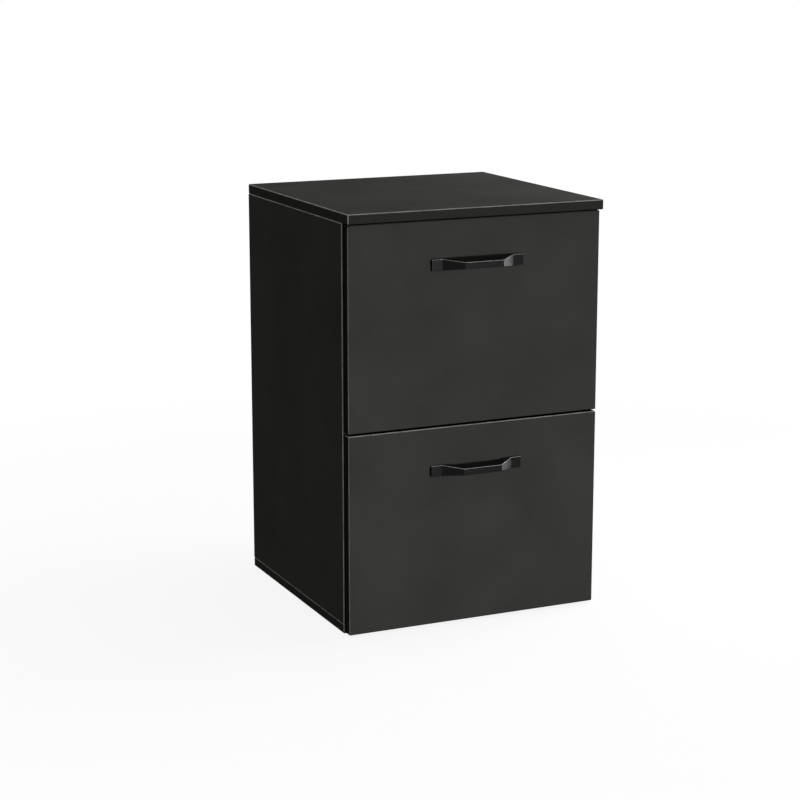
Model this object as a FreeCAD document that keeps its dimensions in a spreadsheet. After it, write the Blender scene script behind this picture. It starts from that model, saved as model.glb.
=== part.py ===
"""A filing cabinet of laminated board with two drawers on full-extension ball slides.

The frame has +X to the right of a person who faces the fronts, +Y to the back and +Z up.
The origin is on the floor, under the middle of the whole object with its handles.
All lengths are millimetres.
"""
import FreeCAD, Part
import math
import operator
import os
from types import SimpleNamespace

import Sketcher
from FreeCAD import Placement, Rotation, Vector

SIZES = {
    # Carcass of boards
    "cabinet_width": 445,
    "cabinet_depth": 430,
    "carcass_height": 675,
    "board_thickness": 16,
    "board_arris": 1.2,
    "back_thickness": 3,
    "back_inset": 10,
    "groove_depth": 6,
    "joint_clearance": 0.15,
    "stretcher_depth": 80,
    "stretcher_inset": 2,
    "housing_depth": 5,
    "dowel_diameter": 8,
    "dowel_length": 30,
    "dowel_panel_depth": 11,
    "dowel_inset": 60,
    # Glides under the bottom panel
    "glide_height": 3,
    "glide_diameter": 24,
    "glide_inset": 26,
    "glide_chamfer": 0.8,
    # Drawer fronts
    "front_setback": 7.5,
    "front_side_inset": 2.5,
    "front_top_gap": 2,
    "front_middle_gap": 3,
    "front_bottom_lift": 1.5,
    "front_height_difference": 2.5,
    "bumper_thickness": 1.5,
    "bumper_diameter": 8,
    "bumper_inset": 24,
    # Drawer boxes
    "box_board": 12,
    "box_arris": 2,
    "box_length": 360,
    "box_lift": 26.5,
    "box_top_drop": 33.5,
    "box_bottom_thickness": 3,
    "box_bottom_lift": 12,
    "box_groove_depth": 5,
    # Rails for hanging files
    "file_rail_inset": 16.8,
    "file_rail_thickness": 3,
    "file_rail_height": 15,
    "bracket_width": 12,
    "bracket_depth": 10,
    "bracket_floor": 4,
    "bracket_wall": 3,
    # Bow handles
    "handle_length": 160,
    "handle_projection": 30,
    "handle_drop": 69.5,
    "handle_foot_length": 18,
    "handle_foot_height": 18,
    "handle_foot_thickness": 6,
    "handle_grip_length": 66,
    "handle_grip_height": 11,
    "handle_bar_thickness": 5.5,
    "handle_hole_spacing": 128,
    "handle_screw_diameter": 4,
    "handle_screw_depth": 4,
    "handle_screw_head_diameter": 8,
    "handle_screw_head_height": 2.4,
    # Ball slides, measured from the side panel towards the drawer and up from the slide's axis
    "slide_thickness": 12.7,
    "slide_height": 45,
    "slide_length": 350,
    "slide_inset": 2,
    "slide_axis_lift": 80,
    "slide_sheet": 1.2,
    "slide_bend": 1.8,
    "ball_radius": 1.6,
    "race_clearance": 0.15,
    "ball_row_offset": 6.6,
    "lip_drop": 0.6,
    "middle_web_offset": 2.9,
    "middle_end_inset": 5,
    "inner_flange_offset": 5.8,
    "cage_sheet": 0.8,
    "cage_play": 0.4,
    "cage_length": 100,
    "cage_ball_pitch": 20,
    # Screws of the slides
    "slide_screw_diameter": 3.8,
    "slide_screw_length": 10,
    "slide_screw_head_diameter": 7.6,
    "slide_screw_head_height": 1.2,
    "slide_screw_front_inset": 15,
    "slide_screw_rear_inset": 50,
    "access_length": 14,
    "access_height": 10,
    # How far a cut runs past the face that it opens
    "cut_overrun": 2,
}

BALLS_PER_ROW = 5
FLATS = 12
NEAR = 1e-4
SIGNS = {"+": operator.add, "-": operator.sub, "*": operator.mul, "/": operator.truediv}
SIDES = {"left": 1, "right": -1}


class Size:
    """A number together with the sheet formula that gives it."""

    def __init__(self, number, formula):
        self.number = number
        self.formula = formula

    def __add__(self, other):
        return joined(self, "+", other)

    def __radd__(self, other):
        return joined(other, "+", self)

    def __sub__(self, other):
        return joined(self, "-", other)

    def __rsub__(self, other):
        return joined(other, "-", self)

    def __mul__(self, other):
        return joined(self, "*", other)

    def __rmul__(self, other):
        return joined(other, "*", self)

    def __truediv__(self, other):
        return joined(self, "/", other)

    def __neg__(self):
        return joined(0, "-", self)

    def root(self):
        return Size(math.sqrt(self.number), f"sqrt({self.formula})")


def sized(value):
    """Give a plain count or share the same form as a size from the sheet."""
    return value if isinstance(value, Size) else Size(value, str(value))


def joined(left, sign, right):
    """Work out one sum, as a number and as a formula."""
    left, right = sized(left), sized(right)
    number = SIGNS[sign](left.number, right.number)
    return Size(number, f"({left.formula} {sign} {right.formula})")


def make_sheet():
    """Write the driving dimensions into a sheet and give them back by name."""
    sheet = doc.addObject("Spreadsheet::Sheet", "sizes")
    for row, (name, value) in enumerate(SIZES.items(), start=1):
        sheet.set(f"A{row}", name)
        sheet.set(f"B{row}", str(value))
        sheet.setAlias(f"B{row}", name)
    doc.recompute()
    return SimpleNamespace(**{name: Size(getattr(sheet, name), f"sizes.{name}") for name in SIZES})


def bind(thing, **values):
    """Tie properties of an object to formulas on the sheet."""
    for name, value in values.items():
        thing.setExpression(name, sized(value).formula)


def place(thing, corner):
    """Tie the place of an object to formulas on the sheet."""
    for axis, value in zip("xyz", corner):
        thing.setExpression(f"Placement.Base.{axis}", sized(value).formula)


def block(name, corner, spans):
    """A rectangular solid from its lowest corner and its three spans."""
    solid = doc.addObject("Part::Box", name)
    bind(solid, Length=spans[0], Width=spans[1], Height=spans[2])
    place(solid, corner)
    return solid


def rod(name, start, axis, diameter, length):
    """A cylinder that runs from its start along an axis."""
    solid = doc.addObject("Part::Cylinder", name)
    solid.Placement = Placement(Vector(), Rotation(Vector(0, 0, 1), Vector(*axis)))
    bind(solid, Radius=diameter / 2, Height=length)
    place(solid, start)
    return solid


def peg(name, start, axis, diameter, length):
    """A rod with a few flats in place of a round, for small pieces that repeat."""
    solid = doc.addObject("Part::Prism", name)
    solid.Polygon = FLATS
    solid.Placement = Placement(Vector(), Rotation(Vector(0, 0, 1), Vector(*axis)))
    bind(solid, Circumradius=diameter / 2, Height=length)
    place(solid, start)
    return solid


def cut(name, base, tools):
    """The base less one or more tools."""
    solid = doc.addObject("Part::Cut", name)
    solid.Base = base
    solid.Tool = tools[0]
    if len(tools) > 1:
        solid.Tool = doc.addObject("Part::MultiFuse", name + "_cuts")
        solid.Tool.Shapes = tools
    return solid


def grouped(name, solids):
    """Separate solids that share one node."""
    group = doc.addObject("Part::Compound", name)
    group.Links = solids
    return group


def eased(name, base, width, wanted=lambda edge: True, kind="Part::Chamfer"):
    """The base with its wanted edges broken, by a chamfer or a fillet."""
    doc.recompute()
    solid = doc.addObject(kind, name)
    solid.Base = base
    edges = [index for index, edge in enumerate(base.Shape.Edges, start=1) if wanted(edge)]
    solid.Edges = [(index, width.number, width.number) for index in edges]
    return solid


def edge_at(**places):
    """A test for straight edges whose middle has the given coordinates."""
    def test(edge):
        middle = edge.CenterOfMass
        return all(abs(getattr(middle, axis) - sized(at).number) < NEAR for axis, at in places.items())
    return test


def new_body(name, corner):
    """An empty body at its place."""
    body = doc.addObject("PartDesign::Body", name)
    place(body, corner)
    return body


def new_sketch(body, role):
    """An empty sketch on one of the body's own planes."""
    plane = next(item for item in body.Origin.OriginFeatures if item.Role == role)
    sketch = body.newObject("Sketcher::SketchObject", body.Name + "_sketch")
    sketch.AttachmentSupport = [(plane, "")]
    sketch.MapMode = "FlatFace"
    return sketch


def pin_point(sketch, item, point, corner):
    """Tie one point of a sketch to two formulas on the sheet."""
    for kind, value in zip(("DistanceX", "DistanceY"), corner):
        value = sized(value)
        index = sketch.addConstraint(Sketcher.Constraint(kind, -1, 1, item, point, value.number))
        sketch.setExpression(f"Constraints[{index}]", value.formula)


def draw_outline(sketch, corners):
    """A closed outline of straight lines through the corners."""
    first = sketch.GeometryCount
    points = [Vector(sized(across).number, sized(up).number, 0) for across, up in corners]
    for start, end in zip(points, points[1:] + points[:1]):
        sketch.addGeometry(Part.LineSegment(start, end), False)
    for index, corner in enumerate(corners):
        following = first + (index + 1) % len(corners)
        sketch.addConstraint(Sketcher.Constraint("Coincident", first + index, 2, following, 1))
        pin_point(sketch, first + index, 1, corner)


def rectangle(left, low, right, high):
    """The corners of an upright rectangle."""
    return [(left, low), (right, low), (right, high), (left, high)]


def many_sided(centre, diameter):
    """The corners of the hole that fits a peg."""
    turns = [2 * math.pi * index / FLATS for index in range(FLATS)]
    return [(centre[0] + diameter / 2 * math.cos(turn), centre[1] + diameter / 2 * math.sin(turn))
            for turn in turns]


def draw_circle(sketch, centre, diameter):
    """A circle tied to its centre and diameter."""
    middle = Vector(sized(centre[0]).number, sized(centre[1]).number, 0)
    item = sketch.addGeometry(Part.Circle(middle, Vector(0, 0, 1), diameter.number / 2), False)
    pin_point(sketch, item, 3, centre)
    index = sketch.addConstraint(Sketcher.Constraint("Diameter", item, diameter.number))
    sketch.setExpression(f"Constraints[{index}]", diameter.formula)


def pad(body, sketch, length, **options):
    """A sketch made solid over a length."""
    feature = body.newObject("PartDesign::Pad", body.Name + "_pad")
    feature.Profile = sketch
    bind(feature, Length=length)
    for name, value in options.items():
        setattr(feature, name, value)
    return feature


def pocket_through(body, sketch):
    """A sketch cut through the whole body, both ways from its plane."""
    feature = body.newObject("PartDesign::Pocket", body.Name + "_pocket")
    feature.Profile = sketch
    feature.Type = "ThroughAll"
    feature.SideType = "Symmetric"
    return feature


def rounded(body, base, radius, wanted):
    """The wanted edges of a body's last feature rounded."""
    doc.recompute()
    feature = body.newObject("PartDesign::Fillet", body.Name + "_fillet")
    edges = [f"Edge{index}" for index, edge in enumerate(base.Shape.Edges, start=1) if wanted(edge)]
    feature.Base = (base, edges)
    bind(feature, Radius=radius)
    return feature


doc = FreeCAD.newDocument("filing_cabinet")
size = make_sheet()

# Places that several pieces share, along the depth
front_edge_y = (size.handle_projection - size.front_setback - size.cabinet_depth) / 2
rear_edge_y = front_edge_y + size.cabinet_depth
face_y = front_edge_y + size.front_setback
front_back_y = face_y + size.board_thickness
carcass_y = front_back_y + size.bumper_thickness
carcass_depth = rear_edge_y - carcass_y
back_y = rear_edge_y - size.back_inset - size.back_thickness
box_rear_y = front_back_y + size.box_length
box_back_y = box_rear_y - size.box_board
slide_y = carcass_y + size.slide_inset

# Places across the width
half_width = size.cabinet_width / 2
inner_half = half_width - size.board_thickness
box_half = inner_half - size.slide_thickness
box_inner_half = box_half - size.box_board
front_half = half_width - size.front_side_inset

# Places up the height
side_z = size.glide_height + size.board_thickness
top_z = size.glide_height + size.carcass_height - size.board_thickness
side_height = top_z - side_z
lower_front_z = size.glide_height + size.front_bottom_lift
upper_front_top = top_z - size.front_top_gap
both_fronts = upper_front_top - size.front_middle_gap - lower_front_z
lower_front_height = (both_fronts - size.front_height_difference) / 2
lower_front_top = lower_front_z + lower_front_height
upper_front_z = lower_front_top + size.front_middle_gap
box_height = lower_front_height - size.box_lift - size.box_top_drop
stretcher_z = (lower_front_top + upper_front_z - size.board_thickness) / 2

# Fits
groove_wide = size.back_thickness + 2 * size.joint_clearance
groove_tongue = size.groove_depth - size.joint_clearance
housing_tongue = size.housing_depth - size.joint_clearance
dowel_hole = size.dowel_diameter + 2 * size.joint_clearance
dowel_side_depth = size.dowel_length - size.dowel_panel_depth
dowel_panel_hole = size.dowel_panel_depth + size.joint_clearance
dowel_ys = (carcass_y + size.dowel_inset, rear_edge_y - size.dowel_inset)
screw_hole = size.slide_screw_diameter + 2 * size.joint_clearance
handle_hole = size.handle_screw_diameter + 2 * size.joint_clearance
handle_hole_x = size.handle_hole_spacing / 2
box_groove_wide = size.box_bottom_thickness + 2 * size.joint_clearance
race_radius = size.ball_radius + size.race_clearance
screw_places = (size.slide_screw_front_inset, size.slide_length - size.slide_screw_rear_inset)
screw_ys = [slide_y + along for along in screw_places]

DRAWERS = {
    "upper": SimpleNamespace(front_z=upper_front_z, front_top=upper_front_top),
    "lower": SimpleNamespace(front_z=lower_front_z, front_top=lower_front_top),
}
for drawer in DRAWERS.values():
    drawer.box_z = drawer.front_z + size.box_lift
    drawer.axis_z = drawer.box_z + size.slide_axis_lift
    drawer.bottom_z = drawer.box_z + size.box_bottom_lift
    drawer.groove_z = drawer.bottom_z - size.joint_clearance
    drawer.handle_z = drawer.front_top - size.handle_drop


def side_of(sign, distance, span):
    """The lower X of a span that starts at a distance from the middle, on the left or the right."""
    return -distance if sign > 0 else distance - span


def dowel_holes(name, z, depth):
    """Drillings for the carcass dowels, upwards from a height."""
    centre = half_width - size.board_thickness / 2
    return [
        peg(f"{name}_dowel_hole", (sign * centre, y, z), (0, 0, 1), dowel_hole, depth)
        for sign in SIDES.values() for y in dowel_ys
    ]


def make_flat_panel(name, y, depth, z, hole_z, groove_z):
    """The top or the bottom panel, with eased edges, dowel drillings and the groove for the back."""
    blank = block(name + "_blank", (-half_width, y, z), (size.cabinet_width, depth, size.board_thickness))
    board = eased(name + "_eased", blank, size.board_arris)
    groove = block(
        name + "_groove",
        (-inner_half - size.groove_depth, back_y - size.joint_clearance, groove_z),
        (2 * (inner_half + size.groove_depth), groove_wide, size.groove_depth),
    )
    return cut(name, board, dowel_holes(name, hole_z, dowel_panel_hole) + [groove])


def make_side_panel(side, sign):
    """A side panel: eased where it shows, grooved for the back, housed for the stretcher and drilled."""
    name = side + "_side_panel"
    corner = (side_of(sign, half_width, size.board_thickness), carcass_y, side_z)
    blank = block(name + "_blank", corner, (size.board_thickness, carcass_depth, side_height))
    front_edge = edge_at(y=carcass_y, z=side_z + side_height / 2)
    outer_top_edge = edge_at(x=-sign * half_width, z=top_z)
    board = eased(name + "_eased", blank, size.board_arris,
                  lambda edge: front_edge(edge) or outer_top_edge(edge))
    groove = block(
        name + "_groove",
        (side_of(sign, inner_half + size.groove_depth, size.groove_depth + size.cut_overrun),
         back_y - size.joint_clearance, side_z - size.cut_overrun),
        (size.groove_depth + size.cut_overrun, groove_wide, side_height + 2 * size.cut_overrun),
    )
    housing = block(
        name + "_housing",
        (side_of(sign, inner_half + size.housing_depth, size.housing_depth + size.cut_overrun),
         carcass_y + size.stretcher_inset - size.joint_clearance, stretcher_z - size.joint_clearance),
        (size.housing_depth + size.cut_overrun, size.stretcher_depth + 2 * size.joint_clearance,
         size.board_thickness + 2 * size.joint_clearance),
    )
    centre = -sign * (half_width - size.board_thickness / 2)
    depth = dowel_side_depth + size.joint_clearance
    dowels = [
        peg(name + "_dowel_hole", (centre, y, z), (0, 0, 1), dowel_hole, depth)
        for y in dowel_ys for z in (side_z, top_z - depth)
    ]
    pilots = [
        peg(name + "_pilot", (-sign * inner_half, y, drawer.axis_z), (-sign, 0, 0), screw_hole,
            size.slide_screw_length)
        for drawer in DRAWERS.values() for y in screw_ys
    ]
    return cut(name, board, [groove, housing] + dowels + pilots)


def make_back_panel():
    """The thin back, which slides into grooves all round."""
    return block(
        "back_panel",
        (-inner_half - groove_tongue, back_y, side_z - groove_tongue),
        (2 * (inner_half + groove_tongue), size.back_thickness, side_height + 2 * groove_tongue),
    )


def make_stretcher():
    """The flat rail between the drawers, housed in both sides."""
    return block(
        "front_stretcher",
        (-inner_half - housing_tongue, carcass_y + size.stretcher_inset, stretcher_z),
        (2 * (inner_half + housing_tongue), size.stretcher_depth, size.board_thickness),
    )


def make_carcass_dowels():
    """Eight dowels that join the sides to the top and the bottom."""
    centre = half_width - size.board_thickness / 2
    low_z = side_z - size.dowel_panel_depth
    high_z = top_z - dowel_side_depth
    return grouped("carcass_dowels", [
        peg("carcass_dowel", (sign * centre, y, z), (0, 0, 1), size.dowel_diameter, size.dowel_length)
        for sign in SIDES.values() for y in dowel_ys for z in (low_z, high_z)
    ])


def make_glides():
    """Four discs with a chamfered tread that carry the cabinet."""
    centre_x = half_width - size.glide_inset
    centre_ys = (carcass_y + size.glide_inset, rear_edge_y - size.glide_inset)
    tread = size.glide_diameter - 2 * size.glide_chamfer
    glides = []
    for sign in SIDES.values():
        for y in centre_ys:
            cone = doc.addObject("Part::Cone", "glide_tread")
            bind(cone, Radius1=tread / 2, Radius2=size.glide_diameter / 2, Height=size.glide_chamfer)
            place(cone, (sign * centre_x, y, 0))
            disc = rod("glide_disc", (sign * centre_x, y, size.glide_chamfer), (0, 0, 1),
                       size.glide_diameter, size.glide_height - size.glide_chamfer)
            glide = doc.addObject("Part::Fuse", "glide")
            glide.Base = cone
            glide.Tool = disc
            glides.append(glide)
    return grouped("floor_glides", glides)


def make_drawer_front(name, drawer):
    """A front with eased edges, housed for the box's sides and bottom and drilled for the handle."""
    label = name + "_drawer_front"
    height = drawer.front_top - drawer.front_z
    blank = block(label + "_blank", (-front_half, face_y, drawer.front_z),
                  (2 * front_half, size.board_thickness, height))
    board = eased(label + "_eased", blank, size.board_arris)
    housing_y = front_back_y - size.box_groove_depth
    housing_depth = size.box_groove_depth + size.cut_overrun
    housings = [
        block(
            label + "_housing",
            (side_of(sign, box_half + size.joint_clearance, size.box_board + 2 * size.joint_clearance),
             housing_y, drawer.box_z - size.joint_clearance),
            (size.box_board + 2 * size.joint_clearance, housing_depth,
             box_height + 2 * size.joint_clearance),
        )
        for sign in SIDES.values()
    ]
    groove = block(label + "_groove", (-box_half, housing_y, drawer.groove_z),
                   (2 * box_half, housing_depth, box_groove_wide))
    holes = [
        rod(label + "_hole", (sign * handle_hole_x, face_y - size.cut_overrun, drawer.handle_z), (0, 1, 0),
            handle_hole, size.board_thickness + 2 * size.cut_overrun)
        for sign in SIDES.values()
    ]
    return cut(label, board, housings + [groove] + holes)


def make_box_side(name, drawer, side, sign):
    """A side of a drawer box, with a rounded top edge, a groove for the bottom and a rebate for the back."""
    label = f"{name}_drawer_{side}_side"
    start_y = front_back_y - size.box_groove_depth + size.joint_clearance
    blank = block(label + "_blank", (side_of(sign, box_half, size.box_board), start_y, drawer.box_z),
                  (size.box_board, box_rear_y - start_y, box_height))
    board = eased(label + "_eased", blank, size.box_arris,
                  edge_at(z=drawer.box_z + box_height, y=(start_y + box_rear_y) / 2), "Part::Fillet")
    cut_x = side_of(sign, box_inner_half + size.box_groove_depth, size.box_groove_depth + size.cut_overrun)
    depth = size.box_groove_depth + size.cut_overrun
    groove = block(label + "_groove", (cut_x, start_y - size.cut_overrun, drawer.groove_z),
                   (depth, box_rear_y - start_y + 2 * size.cut_overrun, box_groove_wide))
    rebate_y = box_back_y - size.joint_clearance
    rebate = block(label + "_rebate", (cut_x, rebate_y, drawer.box_z - size.cut_overrun),
                   (depth, box_rear_y - rebate_y + size.cut_overrun, box_height + 2 * size.cut_overrun))
    pilots = [
        peg(label + "_pilot", (-sign * box_half, y, drawer.axis_z), (sign, 0, 0), screw_hole,
            size.slide_screw_length)
        for y in screw_ys
    ]
    return cut(label, board, [groove, rebate] + pilots)


def make_box_back(name, drawer):
    """The back of a drawer box, held in the sides' rebates."""
    label = name + "_drawer_back"
    half = box_inner_half + size.box_groove_depth - size.joint_clearance
    board = block(label + "_blank", (-half, box_back_y, drawer.box_z),
                  (2 * half, size.box_board, box_height))
    groove = block(label + "_groove",
                   (-half - size.cut_overrun, box_back_y - size.cut_overrun, drawer.groove_z),
                   (2 * (half + size.cut_overrun), size.box_groove_depth + size.cut_overrun, box_groove_wide))
    return cut(label, board, [groove])


def make_box_bottom(name, drawer):
    """The thin bottom of a drawer box, held in grooves all round."""
    tongue = size.box_groove_depth - size.joint_clearance
    half = box_inner_half + tongue
    start_y = front_back_y - tongue
    return block(name + "_drawer_bottom", (-half, start_y, drawer.bottom_z),
                 (2 * half, box_back_y + tongue - start_y, size.box_bottom_thickness))


def make_handle(name, drawer):
    """A bow handle: a bent bar whose legs taper from tall feet to a slim grip."""
    body = new_body(name + "_handle", (0, face_y, drawer.handle_z))
    half = size.handle_length / 2
    foot = half - size.handle_foot_length
    grip = size.handle_grip_length / 2
    run = foot - grip
    rise = size.handle_projection - size.handle_foot_thickness
    slope = run / rise
    bar_across = size.handle_bar_thickness * (run * run + rise * rise).root() / rise
    inner_rise = size.handle_projection - size.handle_bar_thickness
    inner_foot = foot + size.handle_foot_thickness * slope - bar_across
    inner_grip = inner_foot - inner_rise * slope
    right_half = [
        (grip, -size.handle_projection),
        (foot, -size.handle_foot_thickness),
        (half, -size.handle_foot_thickness),
        (half, 0),
        (inner_foot, 0),
        (inner_grip, -inner_rise),
    ]
    outline = right_half + [(-across, out) for across, out in reversed(right_half)]
    plan = new_sketch(body, "XY_Plane")
    draw_outline(plan, outline)
    pad(body, plan, size.handle_foot_height, SideType="Symmetric")
    tall = size.handle_foot_height / 2
    slim = size.handle_grip_height / 2
    taper = new_sketch(body, "XZ_Plane")
    for way in (1, -1):
        draw_outline(taper, [
            (-foot, way * (tall + size.cut_overrun)),
            (-foot, way * tall),
            (-grip, way * slim),
            (grip, way * slim),
            (foot, way * tall),
            (foot, way * (tall + size.cut_overrun)),
        ])
    pocket_through(body, taper)
    holes = new_sketch(body, "XZ_Plane")
    for sign in SIDES.values():
        draw_circle(holes, (sign * handle_hole_x, 0), handle_hole)
    threads = body.newObject("PartDesign::Pocket", body.Name + "_threads")
    threads.Profile = holes
    threads.Reversed = True
    bind(threads, Length=size.handle_screw_depth + size.joint_clearance)
    return body


def make_screw(name, seat, axis, head_diameter, head_height, diameter, length):
    """A screw with a flat head that stands on its seat, its shank along the axis."""
    back = tuple(-1 * way for way in axis)
    head = peg(name + "_head", seat, back, head_diameter, head_height)
    shank = peg(name + "_shank", seat, axis, diameter, length)
    screw = doc.addObject("Part::Fuse", name)
    screw.Base = head
    screw.Tool = shank
    return screw


def make_handle_screws(name, drawer):
    """Two machine screws that reach through the front into the handle's feet."""
    return grouped(name + "_handle_screws", [
        make_screw(name + "_handle_screw", (sign * handle_hole_x, front_back_y, drawer.handle_z), (0, -1, 0),
                   size.handle_screw_head_diameter, size.handle_screw_head_height,
                   size.handle_screw_diameter, size.board_thickness + size.handle_screw_depth)
        for sign in SIDES.values()
    ])


def make_bumpers(name, drawer):
    """Four soft discs that meet the front edges of the side panels."""
    centre = half_width - size.board_thickness / 2
    heights = (drawer.front_z + size.bumper_inset, drawer.front_top - size.bumper_inset)
    return grouped(name + "_front_bumpers", [
        rod(name + "_front_bumper", (sign * centre, front_back_y, z), (0, 1, 0),
            size.bumper_diameter, size.bumper_thickness)
        for sign in SIDES.values() for z in heights
    ])


def make_file_rails(name, drawer):
    """Two steel bars on edge for hanging files, and the brackets that hold their ends."""
    floor_z = drawer.box_z + box_height - size.file_rail_height
    bracket_z = floor_z - size.bracket_floor
    slot = size.file_rail_thickness + 2 * size.joint_clearance
    spans = (size.bracket_width, size.bracket_depth, size.bracket_floor + size.file_rail_height)
    start_y = front_back_y + size.bracket_wall + size.joint_clearance
    end_y = box_back_y - size.bracket_wall - size.joint_clearance
    rear_bracket_y = box_back_y - size.bracket_depth
    slot_length = size.bracket_depth - size.bracket_wall + size.cut_overrun
    bracket_ys = (
        (front_back_y, front_back_y + size.bracket_wall),
        (rear_bracket_y, rear_bracket_y - size.cut_overrun),
    )
    rails = []
    brackets = []
    for side, sign in SIDES.items():
        centre = -sign * (box_inner_half - size.file_rail_inset)
        corner = (centre - size.file_rail_thickness / 2, start_y, floor_z)
        rails.append(block(f"{name}_{side}_hanging_rail", corner,
                           (size.file_rail_thickness, end_y - start_y, size.file_rail_height)))
        for bracket_y, slot_y in bracket_ys:
            body = block("bracket_blank", (centre - size.bracket_width / 2, bracket_y, bracket_z), spans)
            tool = block("bracket_slot", (centre - slot / 2, slot_y, floor_z),
                         (slot, slot_length, size.file_rail_height + size.cut_overrun))
            brackets.append(cut(name + "_bracket", body, [tool]))
    return rails + [grouped(name + "_hanging_rail_brackets", brackets)]


def channel(sign, web, web_inside, far, half, sheet, lip_end=None):
    """The section of a channel of sheet: a web, two flanges and, where a lip end is given, two lips."""
    upper = [(web, half), (far, half)]
    if lip_end is not None:
        upper += [(far, lip_end), (far - sheet, lip_end), (far - sheet, half - sheet)]
    else:
        upper += [(far, half - sheet)]
    upper += [(web_inside, half - sheet)]
    lower = [(across, -up) for across, up in reversed(upper)]
    return [(sign * across, up) for across, up in upper + lower]


def make_rail(label, drawer, sign, section, start_y, length, bends):
    """A rolled rail: its section carried along the slide, with its bends rounded."""
    body = new_body(label, (-sign * inner_half, start_y, drawer.axis_z))
    sketch = new_sketch(body, "XZ_Plane")
    draw_outline(sketch, section)
    last = pad(body, sketch, length, Reversed=True)
    for radius, corners in bends:
        tests = [edge_at(x=sign * across, z=way * up) for across, up in corners for way in (1, -1)]
        last = rounded(body, last, radius, lambda edge, tests=tests: any(test(edge) for test in tests))
    return body


def make_slide(name, drawer, side, sign):
    """One full-extension slide: an outer, a middle and an inner rail."""
    sheet = size.slide_sheet
    lip_far = size.ball_row_offset + race_radius + sheet
    outer_half = size.slide_height / 2
    outer_row = outer_half - sheet - race_radius
    middle_half = outer_row - race_radius
    inner_row = middle_half - sheet - race_radius
    inner_half_height = inner_row - race_radius
    web = size.middle_web_offset
    label = f"{name}_{side}"

    def hook_bends(start, half):
        return [
            (race_radius + sheet, [(lip_far, half)]),
            (race_radius, [(lip_far - sheet, half - sheet)]),
            (size.slide_bend, [(start, half)]),
        ]

    outer = make_rail(
        label + "_outer_rail", drawer, sign,
        channel(sign, 0, sheet, lip_far, outer_half, sheet, outer_row - size.lip_drop),
        slide_y, size.slide_length, hook_bends(0, outer_half))
    middle = make_rail(
        label + "_middle_rail", drawer, sign,
        channel(sign, web, web + sheet, lip_far, middle_half, sheet, inner_row - size.lip_drop),
        slide_y + size.middle_end_inset, size.slide_length - 2 * size.middle_end_inset,
        hook_bends(web, middle_half))
    inner = make_rail(
        label + "_inner_rail", drawer, sign,
        channel(sign, size.slide_thickness, size.slide_thickness - sheet, size.inner_flange_offset,
                inner_half_height, sheet),
        slide_y, size.slide_length, [(size.slide_bend, [(size.slide_thickness, inner_half_height)])])
    for rail in (outer, inner):
        holes = new_sketch(rail, "YZ_Plane")
        for along in screw_places:
            draw_outline(holes, many_sided((along, 0), screw_hole))
        pocket_through(rail, holes)
    windows = new_sketch(middle, "YZ_Plane")
    for along in screw_places:
        start = along - size.middle_end_inset - size.access_length / 2
        half = size.access_height / 2
        draw_outline(windows, rectangle(start, -half, start + size.access_length, half))
    pocket_through(middle, windows)
    return outer, middle, inner


def make_cage(name, drawer, side, sign, web, row):
    """A cage of sheet that spaces the balls of two rows, open at each ball."""
    body = new_body(f"{name}_{side}_cage", (
        -sign * inner_half, slide_y + (size.slide_length - size.cage_length) / 2, drawer.axis_z))
    far_edge = size.ball_row_offset + race_radius - 2 * size.race_clearance
    section = new_sketch(body, "XZ_Plane")
    draw_outline(section, channel(sign, web, web + size.cage_sheet, far_edge, row + size.cage_sheet / 2,
                                  size.cage_sheet))
    pad(body, section, size.cage_length, Reversed=True)
    windows = new_sketch(body, "XY_Plane")
    half = race_radius
    near = sign * (size.ball_row_offset - half)
    far = sign * (size.ball_row_offset + half)
    for index in range(BALLS_PER_ROW):
        middle = size.cage_length / 2 + (index - (BALLS_PER_ROW - 1) / 2) * size.cage_ball_pitch
        draw_outline(windows, rectangle(near, middle - half, far, middle + half))
    pocket_through(body, windows)
    return body


def make_cages(name, drawer):
    """The outer and the inner ball cages of both slides of a drawer."""
    outer_row = size.slide_height / 2 - size.slide_sheet - race_radius
    inner_row = outer_row - 2 * race_radius - size.slide_sheet
    outer_web = size.slide_sheet + size.cage_play
    inner_web = size.middle_web_offset + size.slide_sheet + size.cage_play
    groups = []
    for kind, web, row in (("outer", outer_web, outer_row), ("inner", inner_web, inner_row)):
        cages = [make_cage(f"{name}_{kind}", drawer, side, sign, web, row) for side, sign in SIDES.items()]
        groups.append(grouped(f"{name}_{kind}_ball_cages", cages))
    return groups


def make_slide_screws(label, drawers, seat, way):
    """The screws of the rails on the cabinet or on a drawer, each head inside its rail."""
    return grouped(label, [
        make_screw(label + "_screw", (-sign * (inner_half - seat), y, drawer.axis_z), (way * sign, 0, 0),
                   size.slide_screw_head_diameter, size.slide_screw_head_height,
                   size.slide_screw_diameter, size.slide_screw_length)
        for drawer in drawers for sign in SIDES.values() for y in screw_ys
    ])


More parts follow.
